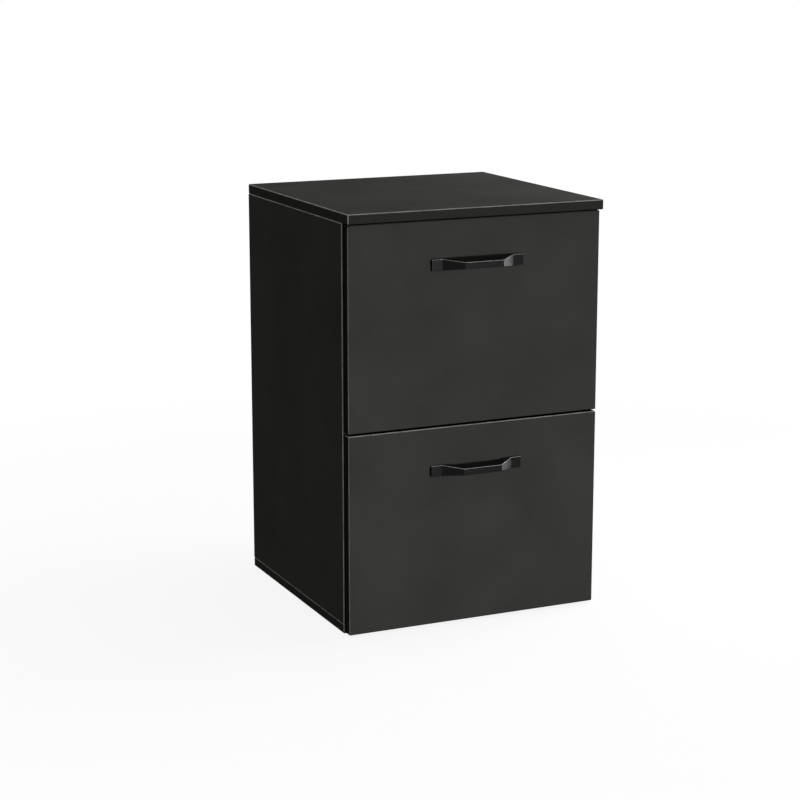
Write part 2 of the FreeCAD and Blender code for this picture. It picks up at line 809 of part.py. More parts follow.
nodes = [
    make_flat_panel("top_panel", front_edge_y, size.cabinet_depth, top_z, top_z, top_z),
    make_flat_panel("bottom_panel", carcass_y, carcass_depth, size.glide_height,
                    side_z - dowel_panel_hole, side_z - size.groove_depth),
    make_back_panel(),
    make_stretcher(),
    make_carcass_dowels(),
    make_glides(),
    make_slide_screws("outer_rail_screws", DRAWERS.values(), size.slide_sheet, -1),
]
nodes += [make_side_panel(side, sign) for side, sign in SIDES.items()]
for drawer_name, drawer in DRAWERS.items():
    nodes += [
        make_drawer_front(drawer_name, drawer),
        make_box_back(drawer_name, drawer),
        make_box_bottom(drawer_name, drawer),
        make_handle(drawer_name, drawer),
        make_handle_screws(drawer_name, drawer),
        make_bumpers(drawer_name, drawer),
        make_slide_screws(drawer_name + "_inner_rail_screws", [drawer],
                          size.slide_thickness - size.slide_sheet, 1),
    ]
    nodes += make_file_rails(drawer_name, drawer)
    nodes += make_cages(drawer_name, drawer)
    for side_name, side_sign in SIDES.items():
        nodes.append(make_box_side(drawer_name, drawer, side_name, side_sign))
        nodes += make_slide(drawer_name, drawer, side_name, side_sign)

doc.recompute()
failed = [item.Label for item in doc.Objects if {"Invalid", "Error"} & set(item.State)]
failed += [node.Label for node in nodes if node.Shape.isNull() or not node.Shape.isValid()]
if failed:
    raise RuntimeError("pieces that did not build: " + ", ".join(failed))

os.makedirs("parts", exist_ok=True)
for node in nodes:
    node.Shape.exportStep(f"parts/{node.Label}.step")
print(len(nodes), "nodes,", sum(len(node.Shape.Solids) for node in nodes), "solids")
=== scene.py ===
# %% [markdown]
# # Dressing a filing cabinet
# The cabinet comes from CAD as an assembly of 49 pieces on nine moving bodies, and here it gets its looks.
# The boards are already right, so they keep their shapes and get a laminate. The handles, the screw heads,
# the soft bumpers and the steel balls need rounder forms than the solids have, so they are worked out with
# numpy and ride on the same bodies. All lengths are metres, with +X to the right, +Y to the back, +Z up.

# %% Load the frame
import math
import bpy
import numpy as np
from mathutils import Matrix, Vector


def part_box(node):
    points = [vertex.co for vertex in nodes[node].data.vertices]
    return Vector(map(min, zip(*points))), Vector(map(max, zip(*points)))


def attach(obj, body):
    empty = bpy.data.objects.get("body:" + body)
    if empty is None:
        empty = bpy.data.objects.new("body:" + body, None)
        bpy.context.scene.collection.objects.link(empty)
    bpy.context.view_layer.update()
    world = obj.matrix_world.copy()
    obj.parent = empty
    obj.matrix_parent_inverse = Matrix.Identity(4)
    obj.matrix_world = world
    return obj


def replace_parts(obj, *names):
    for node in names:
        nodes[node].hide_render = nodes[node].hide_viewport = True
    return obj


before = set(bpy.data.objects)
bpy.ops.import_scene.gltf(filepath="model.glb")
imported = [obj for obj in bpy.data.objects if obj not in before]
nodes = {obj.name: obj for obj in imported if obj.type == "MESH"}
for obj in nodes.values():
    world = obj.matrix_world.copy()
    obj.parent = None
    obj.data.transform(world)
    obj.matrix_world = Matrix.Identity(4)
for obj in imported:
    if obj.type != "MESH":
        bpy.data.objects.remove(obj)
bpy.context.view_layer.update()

# %% [markdown]
# ## The camera
# A camera is best found before any finish is chosen, because every later choice is judged through it. The
# photo's viewing angle comes from the corners of the boards: the four corners of the top and the corners of
# the fronts were located in the picture, and a camera was fitted to them. That gave an azimuth, an
# elevation, a distance and a long lens, which are written here as they would be set on a real tripod.

# %% Camera at the photo's angle
AZIMUTH = math.radians(-24.43)
ELEVATION = math.radians(12.70)
DISTANCE = 3.512
AIM = Vector((-0.0429, 0.0, 0.3320))
LENS_MM, SENSOR_MM = 94.57, 36

toward_camera = Vector((
    math.sin(AZIMUTH) * math.cos(ELEVATION),
    -math.cos(AZIMUTH) * math.cos(ELEVATION),
    math.sin(ELEVATION),
))
camera_data = bpy.data.cameras.new("photo_camera")
camera_data.lens = LENS_MM
camera_data.sensor_width = SENSOR_MM
camera = bpy.data.objects.new("photo_camera", camera_data)
camera.location = AIM + DISTANCE * toward_camera
camera.rotation_euler = (-toward_camera).to_track_quat("-Z", "Y").to_euler()
bpy.context.scene.collection.objects.link(camera)
bpy.context.scene.camera = camera
print("camera at", tuple(round(value, 3) for value in camera.location))

# %% [markdown]
# ## Node trees without clicking
# A procedural material is a small graph: coordinates go in, patterns come out, and the patterns steer
# colour, roughness and bump. Clicking such a graph together is slow to repeat, so a short class wraps a node
# tree. Each call adds one node, sets its plain values and links what comes from other nodes.

# %% A node graph
class Graph:
    """A node tree under construction."""

    def __init__(self, tree):
        self.tree = tree

    def add(self, kind, inputs=None, **settings):
        """One node, with its settings, and values or links for its sockets."""
        node = self.tree.nodes.new(kind)
        for key, value in settings.items():
            setattr(node, key, value)
        self.feed(node, inputs or {})
        return node

    def feed(self, node, inputs):
        """Plain values and links for the sockets of a node that exists."""
        for key, value in inputs.items():
            if isinstance(value, bpy.types.NodeSocket):
                self.tree.links.new(value, node.inputs[key])
            else:
                node.inputs[key].default_value = value

    def span(self, value, low, high, new_low, new_high):
        """A value carried from one span to another, and held at its ends."""
        inputs = {"Value": value, "From Min": low, "From Max": high, "To Min": new_low, "To Max": new_high}
        return self.add("ShaderNodeMapRange", inputs, clamp=True).outputs["Result"]

    def combine(self, operation, first, second):
        """One sum on two values."""
        return self.add("ShaderNodeMath", {0: first, 1: second}, operation=operation).outputs["Value"]

    def dot(self, vector, way):
        """How far a vector points one way."""
        inputs = {0: vector, 1: way}
        return self.add("ShaderNodeVectorMath", inputs, operation="DOT_PRODUCT").outputs["Value"]


# %% [markdown]
# ## Finishes
# A finish is a graph with a shader at its end. It reads object coordinates, so a pattern stays on its piece
# when the piece moves, and the normal in object space, which tells faces, edges and arrises apart.

# %% A finish, and how a piece gets it
NOISE_SPAN = (0.3, 0.7)


class Finish(Graph):
    """A material under construction: its shader, its object coordinates and its object-space normal."""

    def __init__(self, name):
        self.material = bpy.data.materials.new(name)
        self.material.use_nodes = True
        super().__init__(self.material.node_tree)
        self.shader = self.tree.nodes["Principled BSDF"]
        coordinates = self.add("ShaderNodeTexCoord").outputs
        self.places, self.normal = coordinates["Object"], coordinates["Normal"]

    def stretched(self, scale):
        """Object coordinates stretched along the axes, which draws a pattern out into streaks."""
        return self.add("ShaderNodeMapping", {"Vector": self.places, "Scale": scale}).outputs["Vector"]

    def noise(self, scale, detail, places=None):
        """Cloudy values about one half, at a scale in waves per metre."""
        inputs = {"Vector": places or self.places, "Scale": scale, "Detail": detail}
        return self.add("ShaderNodeTexNoise", inputs).outputs["Fac"]

    def spread(self, pattern, new_low, new_high):
        """A noise pattern's usual values carried to a span."""
        return self.span(pattern, *NOISE_SPAN, new_low, new_high)

    def tint(self, share, dark, light):
        """A colour between two, by a share from 0 to 1."""
        node = self.add("ShaderNodeMix", {"Factor": share}, data_type="RGBA")
        for name, colour in (("A", dark), ("B", light)):
            socket = next(item for item in node.inputs if item.name == name and item.type == "RGBA")
            if isinstance(colour, bpy.types.NodeSocket):
                self.tree.links.new(colour, socket)
            else:
                socket.default_value = (*colour, 1.0)
        return next(item for item in node.outputs if item.type == "RGBA")

    def bump(self, height, strength, distance):
        """Surface relief from a height pattern."""
        inputs = {"Height": height, "Strength": strength, "Distance": distance}
        self.feed(self.shader, {"Normal": self.add("ShaderNodeBump", inputs).outputs["Normal"]})

    def facing(self, way):
        """How far the surface faces one way."""
        return self.dot(self.normal, way)

    def normal_parts(self):
        """How far the normal points along X, Y and Z, whichever way."""
        parts = self.add("ShaderNodeSeparateXYZ", {"Vector": self.normal}).outputs
        return [self.combine("ABSOLUTE", part, 0.0) for part in parts]


def dress(material, *names):
    """Give CAD nodes their finished material."""
    for name in names:
        nodes[name].data.materials.clear()
        nodes[name].data.materials.append(material)
    print(material.name, "on", len(names), "pieces")


# %% [markdown]
# ## Painted highlights and shade on arrises
# The boards' broken edges catch the light as thin pale lines, which is what draws the cabinet's outline. An
# arris is found by the surface normal: on a flat face one part of it is near 1, and on a chamfer two parts
# are near 0.7, so the largest part tells them apart. Each kind of board has a way that the light comes from:
# arrises that face it are painted pale in patches, as a painted highlight, and arrises that face elsewhere
# are painted dark, as painted shade. The upper front's top edge lies in the shadow of the overhanging top,
# so its highlight fades there to painted shade.

# %% How far an arris is painted light
# The arris colour is painted light: a painted highlight where an arris faces the way the light comes from,
# and painted shade where it faces away.
LIGHT_FACING_DOT, FULL_HIGHLIGHT_DOT = 0.2, 0.85
HIGHLIGHT_PATCHES_PER_METRE, HIGHLIGHT_PATCH_SPAN, LEAST_HIGHLIGHT = 60, (0.35, 0.6), 0.7
OVERHANG_SHADE_FADE, OVERHANG_HIGHLIGHT_SHARE = 0.002, 0.12


def arris_highlight_share(finish, lit_from, shaded_above):
    """How far an arris gets a painted highlight: by the way it faces the light, in patches, and little above
    a height.
    """
    facing_light = finish.span(finish.facing(lit_from), LIGHT_FACING_DOT, FULL_HIGHLIGHT_DOT, 0.0, 1.0)
    patches = finish.span(finish.noise(HIGHLIGHT_PATCHES_PER_METRE, detail=5), *HIGHLIGHT_PATCH_SPAN, LEAST_HIGHLIGHT, 1.0)
    highlight_share = finish.combine("MULTIPLY", facing_light, patches)
    if shaded_above is None:
        return highlight_share
    # Above this height the arris highlight is faded, as painted shade under the overhanging top.
    height = finish.add("ShaderNodeSeparateXYZ", {"Vector": finish.places}).outputs["Z"]
    unshaded_share = finish.span(height, shaded_above - OVERHANG_SHADE_FADE, shaded_above, 1.0, OVERHANG_HIGHLIGHT_SHARE)
    return finish.combine("MULTIPLY", highlight_share, unshaded_share)


# %% [markdown]
# ## Film on board
# The boards are chipboard under a matt charcoal film. Up close such a film has a fine pebble, a cloudy
# change of tone and a slight change of gloss where hands have been. The bands glued on the edges are darker
# than the faces, and the part of the normal along the board's thin way tells bands from faces. An image
# could be wrapped round each board, but patterns in metres need no unwrapping and never stretch.

# %% The film, its edge bands and its arrises
AXES = {"x": 0, "y": 1, "z": 2}
CLOUDS_PER_METRE, CLOUD_SHARE = 9, 0.45
PEBBLES_PER_METRE, PEBBLE_HEIGHT, SPECK_SPAN = 1100, 0.0003, (0.35, 0.65)
BAND_DARK_SHARE, BAND_LIGHT_SHARE = 0.8, 1.5
ON_BAND_SPAN, ON_ARRIS_SPAN = (0.4, 0.6), (0.80, 0.95)
POLISH, POLISH_SPAN = 0.12, (0.0, 1.6)
# Near-black painted shade for arrises that face away from the light.
ARRIS_SHADE = (0.004, 0.004, 0.0038)


def board_finish(name, thin_axis, dark, light, band, arris, lit_from,
                 gloss, sheen, pebble, shaded_above=None):
    """A matt film on board: clouds of tone and a fine pebble on the faces, edge bands, and arrises in
    painted highlight and shade.
    """
    finish = Finish(name)
    clouds = finish.spread(finish.noise(CLOUDS_PER_METRE, detail=4), 0.0, CLOUD_SHARE)
    pebbles = finish.noise(PEBBLES_PER_METRE, detail=3)
    specks = finish.span(pebbles, *SPECK_SPAN, 0.0, 1 - CLOUD_SHARE)
    film = finish.tint(finish.combine("ADD", clouds, specks), dark, light)
    edge_band = finish.tint(specks, [BAND_DARK_SHARE * part for part in band],
                            [BAND_LIGHT_SHARE * part for part in band])
    # Arrises are painted from near-black painted shade to a pale painted highlight, by the way they face the
    # light.
    arris_light_and_shade = finish.tint(arris_highlight_share(finish, lit_from, shaded_above), ARRIS_SHADE, arris)
    parts = finish.normal_parts()
    on_band = finish.span(parts[AXES[thin_axis]], *ON_BAND_SPAN, 1.0, 0.0)
    largest = finish.combine("MAXIMUM", finish.combine("MAXIMUM", parts[0], parts[1]), parts[2])
    on_arris = finish.span(largest, *ON_ARRIS_SPAN, 1.0, 0.0)
    handled = finish.combine("ADD", clouds, on_band)
    finish.feed(finish.shader, {
        "Base Color": finish.tint(on_arris, finish.tint(on_band, film, edge_band), arris_light_and_shade),
        "Roughness": finish.span(handled, *POLISH_SPAN, gloss, gloss - POLISH),
        "Specular IOR Level": sheen,
    })
    finish.bump(pebbles, strength=pebble, distance=PEBBLE_HEIGHT)
    return finish.material


# %% [markdown]
# ## Charcoal laminate
# The carcass and the fronts have the same film. The carcass's arrises get their painted highlight where they
# face left and up, and the fronts' where they face up and forward, and the fronts' bands are darker than the
# carcass's, as painted shade in the gaps round them. One dictionary holds the laminate's values, and the
# fronts change only those that differ.

# %% Laminate on the carcass and the fronts
# The arris colours are painted highlights, shown where an arris faces the way the light comes from.
LAMINATE = {"dark": (0.025, 0.025, 0.0237), "light": (0.040, 0.040, 0.0378), "band": (0.020, 0.020, 0.019),
            "arris": (0.32, 0.32, 0.304), "lit_from": (-0.65, -0.22, 0.60),
            "gloss": 0.8, "sheen": 0.003, "pebble": 0.35}
# The fronts' edge band is set much darker than the carcass's, as painted shade in the gaps round the fronts.
FRONTS = {**LAMINATE, "band": (0.006, 0.006, 0.0057),
          "arris": (0.24, 0.24, 0.228), "lit_from": (-0.25, -0.45, 0.80)}
OVERHANG_SHADE_DEPTH = 0.002

dress(board_finish("laminate_on_flat_boards", "z", **LAMINATE),
      "top_panel", "bottom_panel", "front_stretcher")
dress(board_finish("laminate_on_side_boards", "x", **LAMINATE), "left_side_panel", "right_side_panel")
# The upper front's top arris lies under the overhanging top, so its highlight is faded there as painted
# shade.
under_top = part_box("upper_drawer_front")[1].z - OVERHANG_SHADE_DEPTH
dress(board_finish("laminate_on_upper_front", "y", **FRONTS, shaded_above=under_top), "upper_drawer_front")
dress(board_finish("laminate_on_lower_front", "y", **FRONTS), "lower_drawer_front")

# %% [markdown]
# ## Boards that are seen only inside
# Drawer sides are thinner board in a plain foil, and the back and the drawer bottoms are hardboard with a
# smooth painted face and brown raw edges. They share the laminate's graph with other values for tone and
# relief, because they are made in the same way: a film on a board.

# %% Foil and hardboard
# Their arrises that face up get a pale painted highlight, and the others painted shade.
FOIL = {"dark": (0.040, 0.040, 0.039), "light": (0.055, 0.055, 0.053), "band": (0.036, 0.036, 0.035),
        "arris": (0.09, 0.09, 0.087), "lit_from": (0, 0, 1), "gloss": 0.55, "sheen": 0.1, "pebble": 0.16}
HARDBOARD = {"dark": (0.027, 0.027, 0.026), "light": (0.042, 0.042, 0.040), "band": (0.06, 0.045, 0.03),
             "arris": (0.05, 0.05, 0.05), "lit_from": (0, 0, 1), "gloss": 0.5, "sheen": 0.1,
             "pebble": 0.22}
levels = ("upper", "lower")
sides = ("left", "right")

dress(board_finish("foil_on_drawer_sides", "x", **FOIL),
      *(f"{level}_drawer_{side}_side" for level in levels for side in sides))
dress(board_finish("foil_on_drawer_backs", "y", **FOIL), *(f"{level}_drawer_back" for level in levels))
dress(board_finish("painted_back_board", "y", **HARDBOARD), "back_panel")
dress(board_finish("painted_bottom_board", "z", **HARDBOARD),
      *(f"{level}_drawer_bottom" for level in levels))

# %% [markdown]
# ## Beech dowels
# The dowels between the boards are turned from beech, with long streaks of grain and short dark flecks.
# Both are noise that is stretched along Z, the way the dowels stand, so no wood picture is needed.

# %% Raw beech
BEECH_STREAKS, BEECH_FLECKS = (900, 900, 60), (2600, 2600, 300)
FLECK_SPAN, FLECK_SHARE = (0.55, 0.7), 0.5


def beech_finish():
    """Raw beech: long streaks along the dowel, with short darker flecks."""
    finish = Finish("raw_beech")
    streaks = finish.noise(1.0, detail=4, places=finish.stretched(BEECH_STREAKS))
    short = finish.noise(1.0, detail=2, places=finish.stretched(BEECH_FLECKS))
    flecks = finish.span(short, *FLECK_SPAN, 0.0, FLECK_SHARE)
    wood = finish.tint(streaks, dark=(0.50, 0.33, 0.18), light=(0.68, 0.50, 0.31))
    finish.feed(finish.shader, {
        "Base Color": finish.tint(flecks, wood, (0.34, 0.20, 0.10)),
        "Roughness": 0.7,
    })
    finish.bump(streaks, strength=0.2, distance=0.0003)
    return finish.material


dress(beech_finish(), "carcass_dowels")

# %% [markdown]
# ## Zinc-plated steel
# Slides, hanging rails and screws are pressed from steel and plated with bright zinc. Rolled sheet shows
# fine drawing lines along its length, here along Y, and the plating is cloudy. Stretching one noise pattern
# along Y gives the lines, a second one clouds the tone, and both change the gloss. The finish is metal all
# over, so that is set on the shader.

# %% Zinc, drawn along the rails
METAL_CLOUDS_PER_METRE, METAL_GLOSS_SPAN = 45, (0.4, 1.6)


def metal_finish(name, dark, light, gloss, line_scale, line_bump):
    """Steel: cloudy tone, lines along the axis with the least scale, and gloss that follows both."""
    finish = Finish(name)
    clouds = finish.spread(finish.noise(METAL_CLOUDS_PER_METRE, detail=4), 0.0, 1.0)
    lines = finish.noise(1.0, detail=3, places=finish.stretched(line_scale))
    finish.feed(finish.shader, {
        "Base Color": finish.tint(clouds, dark, light),
        "Metallic": 1.0,
        "Roughness": finish.span(finish.combine("ADD", clouds, lines), *METAL_GLOSS_SPAN, *gloss),
    })
    finish.bump(lines, strength=line_bump, distance=0.0001)
    return finish.material


zinc = metal_finish("bright_zinc", dark=(0.50, 0.51, 0.53), light=(0.64, 0.65, 0.66),
                    gloss=(0.26, 0.42), line_scale=(2400, 30, 2400), line_bump=0.18)
dress(zinc, *(f"{level}_{side}_{part}_rail" for level in levels for side in sides
              for part in ("outer", "middle", "inner", "hanging")))

# %% [markdown]
# ## Moulded plastic
# The ball cages, the brackets of the hanging rails and the floor glides are moulded. A mould leaves a fine
# spark texture and a soft sheen, and no grain, so one even noise is enough for the relief and a slow one
# for the tone.

# %% Cages, brackets and glides
SLOW_PER_METRE, SPARKS_PER_METRE = 40, 2600
SPARK_GLOSS = 0.06


def moulded_finish(name, dark, light, gloss, grain):
    """Moulded plastic: a slow change of tone, an even spark texture and a soft gloss."""
    finish = Finish(name)
    slow = finish.noise(SLOW_PER_METRE, detail=3)
    spark = finish.noise(SPARKS_PER_METRE, detail=2)
    finish.feed(finish.shader, {
        "Base Color": finish.tint(slow, dark, light),
        "Roughness": finish.spread(spark, gloss - SPARK_GLOSS, gloss + SPARK_GLOSS),
        "Specular IOR Level": 0.4,
    })
    finish.bump(spark, strength=grain, distance=0.0001)
    return finish.material


cage_plastic = moulded_finish("cage_plastic_moulded", dark=(0.40, 0.41, 0.42), light=(0.50, 0.51, 0.52),
                              gloss=0.45, grain=0.15)
dress(cage_plastic, *(f"{level}_{kind}_ball_cages" for level in levels for kind in ("outer", "inner")))
black_plastic = moulded_finish("black_plastic_moulded", dark=(0.016, 0.016, 0.016),
                               light=(0.026, 0.026, 0.026), gloss=0.5, grain=0.2)
dress(black_plastic, "floor_glides", "upper_hanging_rail_brackets", "lower_hanging_rail_brackets")

# %% [markdown]
# ## Surfaces from arrays
# Every new piece below is a grid: rows of points that follow one another along a path, each row the same
# outline. Joining neighbours gives quads, the last column joins the first, and the two end rows are closed
# by one face each. Several equal pieces can share one mesh, so the helper takes a stack of grids.

# %% From grids to one closed mesh
def grid_faces(rows, columns, start):
    """Quads between neighbouring rows of a closed outline, and one face on each end row."""
    row, column = np.meshgrid(np.arange(rows - 1), np.arange(columns), indexing="ij")
    beside = (column + 1) % columns
    corners = np.stack([row * columns + column, row * columns + beside,
                        (row + 1) * columns + beside, (row + 1) * columns + column], axis=-1)
    quads = (start + corners.reshape(-1, 4)).tolist()
    outline = np.arange(columns)
    caps = [(start + outline[::-1]).tolist(), (start + (rows - 1) * columns + outline).tolist()]
    return quads + caps


def skin(name, grids, material, body, smooth_angle):
    """One object from a stack of grids (pieces, rows, columns, 3), which rides on a body."""
    pieces, rows, columns, _ = grids.shape
    points = rows * columns
    faces = [face for piece in range(pieces) for face in grid_faces(rows, columns, piece * points)]
    mesh = bpy.data.meshes.new(name)
    mesh.from_pydata(grids.reshape(-1, 3).tolist(), [], faces)
    mesh.materials.append(material)
    mesh.shade_smooth()
    mesh.set_sharp_from_angle(angle=math.radians(smooth_angle))
    piece = bpy.data.objects.new(name, mesh)
    bpy.context.scene.collection.objects.link(piece)
    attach(piece, body)
    print(name, len(mesh.vertices), "points on", body)
    return piece


# %% [markdown]
# ## Bow handles
# Each drawer has a bow handle bent from flat bar: two feet flat on the front, two legs that rise and narrow,
# and a slim grip. It could be extruded and bevelled by hand, but the bar changes height along its way. So a
# station along the bar is six numbers: the front point, the back point, half the height, and how far the
# section is drawn in to round an end. Folds are softened in that six-number space with short curves, and a
# rounded rectangle is set up between the front and the back point of each station.

# %% Stations along the bar
FOOT_END, FOOT_FOLD, GRIP_FOLD = 0.080, 0.062, 0.033
FOOT_THICK, BAR_THICK, PROJECTION = 0.006, 0.0055, 0.030
FOOT_HALF, GRIP_HALF = 0.009, 0.0055
EDGE_RADIUS, EDGE_STEPS = 0.0008, 4
FOLD_SHARE, FOLD_STEPS = 0.006, 4

fold_run, fold_rise = FOOT_FOLD - GRIP_FOLD, PROJECTION - FOOT_THICK
bar_across = BAR_THICK * math.hypot(fold_run, fold_rise) / fold_rise
back_fold = FOOT_FOLD + FOOT_THICK * fold_run / fold_rise - bar_across
back_grip = back_fold - (PROJECTION - BAR_THICK) * fold_run / fold_rise


def folded_path(points, share, steps):
    """Corners softened by quadratic curves, each from a share of the way back to a share of the way on."""
    before, corner, after = points[:-2, None], points[1:-1, None], points[2:, None]
    start = corner + (before - corner) * share
    end = corner + (after - corner) * share
    t = np.linspace(0, 1, steps)[None, :, None]
    curves = (1 - t) ** 2 * start + 2 * t * (1 - t) * corner + t ** 2 * end
    return np.concatenate([points[:1], curves.reshape(-1, points.shape[1]), points[-1:]])


def handle_stations():
    """Rows of front x, front y, back x, back y, half height and inset, from the right end to the left."""
    half = np.array([
        (FOOT_END - EDGE_RADIUS, -FOOT_THICK, FOOT_END - EDGE_RADIUS, 0, FOOT_HALF, 0),
        (FOOT_FOLD, -FOOT_THICK, back_fold, 0, FOOT_HALF, 0),
        (GRIP_FOLD, -PROJECTION, back_grip, BAR_THICK - PROJECTION, GRIP_HALF, 0),
    ])
    mirror = np.array([-1, 1, -1, 1, 1, 1])
    path = folded_path(np.concatenate([half, half[::-1] * mirror]), FOLD_SHARE, FOLD_STEPS)
    turn = np.linspace(np.pi / 2, 0, EDGE_STEPS)[:-1, None]
    reach, inset = EDGE_RADIUS * np.sin(turn), EDGE_RADIUS * (1 - np.cos(turn))
    end = path[:1] + np.concatenate([reach, 0 * turn, reach, 0 * turn, 0 * turn, inset], axis=1)
    return np.concatenate([end, path, end[::-1] * mirror])


stations = handle_stations()
print("handle:", len(stations), "stations, grip", 2 * GRIP_FOLD, "long,", PROJECTION, "proud of the front")

# %% [markdown]
# ## The bar's section
# Across the bar, the outline is a rectangle with rounded corners. Its points are four quarter circles, and
# the straight sides come from joining them. The outline lies in the plane of a station's front and back
# point and the upright, so it leans with the legs and stands straight on the grip.

# %% The outline at each station
def section_angles(steps):
    """Signs of the four corners and the angles of their quarter circles, in order round the outline."""
    quarter = np.linspace(0, np.pi / 2, steps)
    angles = (np.arange(4)[:, None] * np.pi / 2 + quarter).ravel()
    outward = np.repeat([1, -1, -1, 1], steps)
    upward = np.repeat([1, 1, -1, -1], steps)
    return angles, outward, upward


def handle_grid(stations, face_y, middle_z):
    """Rounded rectangles between front and back: corner centre plus radius times cosine and sine."""
    front = stations[:, 0:2]
    back = stations[:, 2:4]
    deep = np.linalg.norm(front - back, axis=1)
    way = (front - back) / deep[:, None]
    middle = (front + back) / 2
    angles, outward, upward = section_angles(EDGE_STEPS)
    inset = stations[:, 5:6]
    out = outward * (deep[:, None] / 2 - EDGE_RADIUS) + (EDGE_RADIUS - inset) * np.cos(angles)
    up = upward * (stations[:, 4:5] - EDGE_RADIUS) + (EDGE_RADIUS - inset) * np.sin(angles)
    across = middle[:, None, :] + out[..., None] * way[:, None, :]
    return np.stack([across[..., 0], across[..., 1] + face_y, up + middle_z], axis=-1)


print("outline:", len(section_angles(EDGE_STEPS)[0]), "points")

# %% [markdown]
# ## Satin paint on the handles
# The handles are painted satin black. The rounded upper edge gets a painted highlight, a pale line which is
# found by how far the surface faces up: more than a side does and less than the flat top. The paint itself
# is very dark, so its form shows in the sheen and in that painted highlight, not in its own colour.

# %% Two handles in satin paint
# A pale colour painted on the rounded upper edges as a painted highlight.
PAINTED_EDGE_HIGHLIGHT, LEAST_EDGE_HIGHLIGHT = (0.30, 0.30, 0.285), 0.6
EDGE_FACES_UP, TOP_FACES_UP = (0.15, 0.4), (0.92, 0.99)
PEEL_PER_METRE, DUST_PER_METRE, EDGE_HIGHLIGHT_PATCHES_PER_METRE = 900, 120, 160
DUST_SPAN = (0.45, 0.7)


def satin_finish():
    """Satin black paint: a fine orange peel, patches of dust, and a pale painted highlight on upper edges.
    """
    finish = Finish("satin_black_paint")
    peel = finish.noise(PEEL_PER_METRE, detail=2)
    dust = finish.span(finish.noise(DUST_PER_METRE, detail=4), *DUST_SPAN, 0.0, 1.0)
    paint = finish.tint(dust, dark=(0.0014, 0.0014, 0.00135), light=(0.0032, 0.0032, 0.003))
    up = finish.facing((0, 0, 1))
    not_side = finish.span(up, *EDGE_FACES_UP, 0.0, 1.0)
    not_top = finish.span(up, *TOP_FACES_UP, 1.0, 0.0)
    # The painted highlight on the upper edges, in patches.
    highlight_patches = finish.span(finish.noise(EDGE_HIGHLIGHT_PATCHES_PER_METRE, detail=3), *HIGHLIGHT_PATCH_SPAN, LEAST_EDGE_HIGHLIGHT, 1.0)
    highlight_share = finish.combine("MULTIPLY", finish.combine("MULTIPLY", not_side, not_top), highlight_patches)
    finish.feed(finish.shader, {
        "Base Color": finish.tint(highlight_share, paint, PAINTED_EDGE_HIGHLIGHT),
        "Roughness": finish.spread(peel, 0.30, 0.40),
        "Specular IOR Level": 0.08,
    })
    finish.bump(peel, strength=0.06, distance=0.0002)
    return finish.material


satin = satin_finish()
for level in levels:
    low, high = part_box(f"{level}_handle")
    grid = handle_grid(stations, high.y, (low.z + high.z) / 2)
    handle = skin(f"{level}_bow_handle", grid[None], satin, f"{level}_drawer", smooth_angle=60)
    handle.modifiers.new("flat_faces", "WEIGHTED_NORMAL").keep_sharp = True
    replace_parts(handle, f"{level}_handle")

# %% [markdown]
# ## Steel balls
# A slide runs on rows of small steel balls that sit in the windows of its cages. The CAD leaves them out,
# because so many spheres would be heavy there. One ball is a grid of latitude and longitude, and all the
# balls of a pair of cages are the same grid moved to each window, so whole rows are placed with one sum of
# arrays.

# %% A ball, and where the balls sit
BALL_RADIUS, POLE_ANGLE = 0.0016, 0.12
BALL_PITCH, BALLS_IN_ROW = 0.020, 5
BALL_TO_EDGE, ROW_TO_EDGE = 0.00145, 0.0004
BOTH_WAYS = np.array([-1, 1])


def ball_grid(radius, rows=7, columns=10):
    """A sphere: radius times the sine of latitude round Z, and the cosine up it, with small flat ends."""
    latitude = np.linspace(POLE_ANGLE, np.pi - POLE_ANGLE, rows)[::-1, None]
    longitude = np.linspace(0, 2 * np.pi, columns, endpoint=False)[None, :]
    flat = np.sin(latitude)
    return radius * np.stack([flat * np.cos(longitude), flat * np.sin(longitude),
                              np.cos(latitude) + 0 * longitude], axis=-1)


def nearest_to_middle(node):
    """The least distance of a node's points from the middle plane between the cabinet's sides."""
    vertices = nodes[node].data.vertices
    places = np.empty(3 * len(vertices), dtype=np.float32)
    vertices.foreach_get("co", places)
    return float(np.abs(places[0::3]).min())


def ball_places(cage):
    """Where the balls of two cages sit: mirrored sides, two rows each, a pitch apart along the cage."""
    low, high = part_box(cage)
    side = BOTH_WAYS * (nearest_to_middle(cage) + BALL_TO_EDGE)
    row = (low.z + high.z) / 2 + BOTH_WAYS * ((high.z - low.z) / 2 - ROW_TO_EDGE)
    along = (low.y + high.y) / 2 + (np.arange(BALLS_IN_ROW) - (BALLS_IN_ROW - 1) / 2) * BALL_PITCH
    return np.stack(np.meshgrid(side, along, row, indexing="ij"), axis=-1).reshape(-1, 3)


print("each pair of cages holds", len(ball_places("upper_outer_ball_cages")), "balls")

# %% Balls in their cages
ball_steel = metal_finish("ball_steel", dark=(0.62, 0.62, 0.63), light=(0.72, 0.72, 0.73),
                          gloss=(0.10, 0.20), line_scale=(800, 800, 800), line_bump=0.02)
for level in levels:
    for kind in ("outer", "inner"):
        pair = f"{level}_{kind}"
        balls = ball_grid(BALL_RADIUS) + ball_places(f"{pair}_ball_cages")[:, None, None, :]
        skin(f"{pair}_balls", balls, ball_steel, f"{pair}_cages", smooth_angle=80)

# %% [markdown]
# ## Screw heads
# The CAD screws have plain many-sided heads. A real one is a low dome with a cross-shaped recess for the
# driver. A grid of rings and angles makes it: the height falls away from the middle as a circle does, and
# inside the four arms of a cross it is lowered. The arms are where the sine or the cosine of the angle,
# times the radius, is small. The sizes of the cross are shares of the head's radius and height.

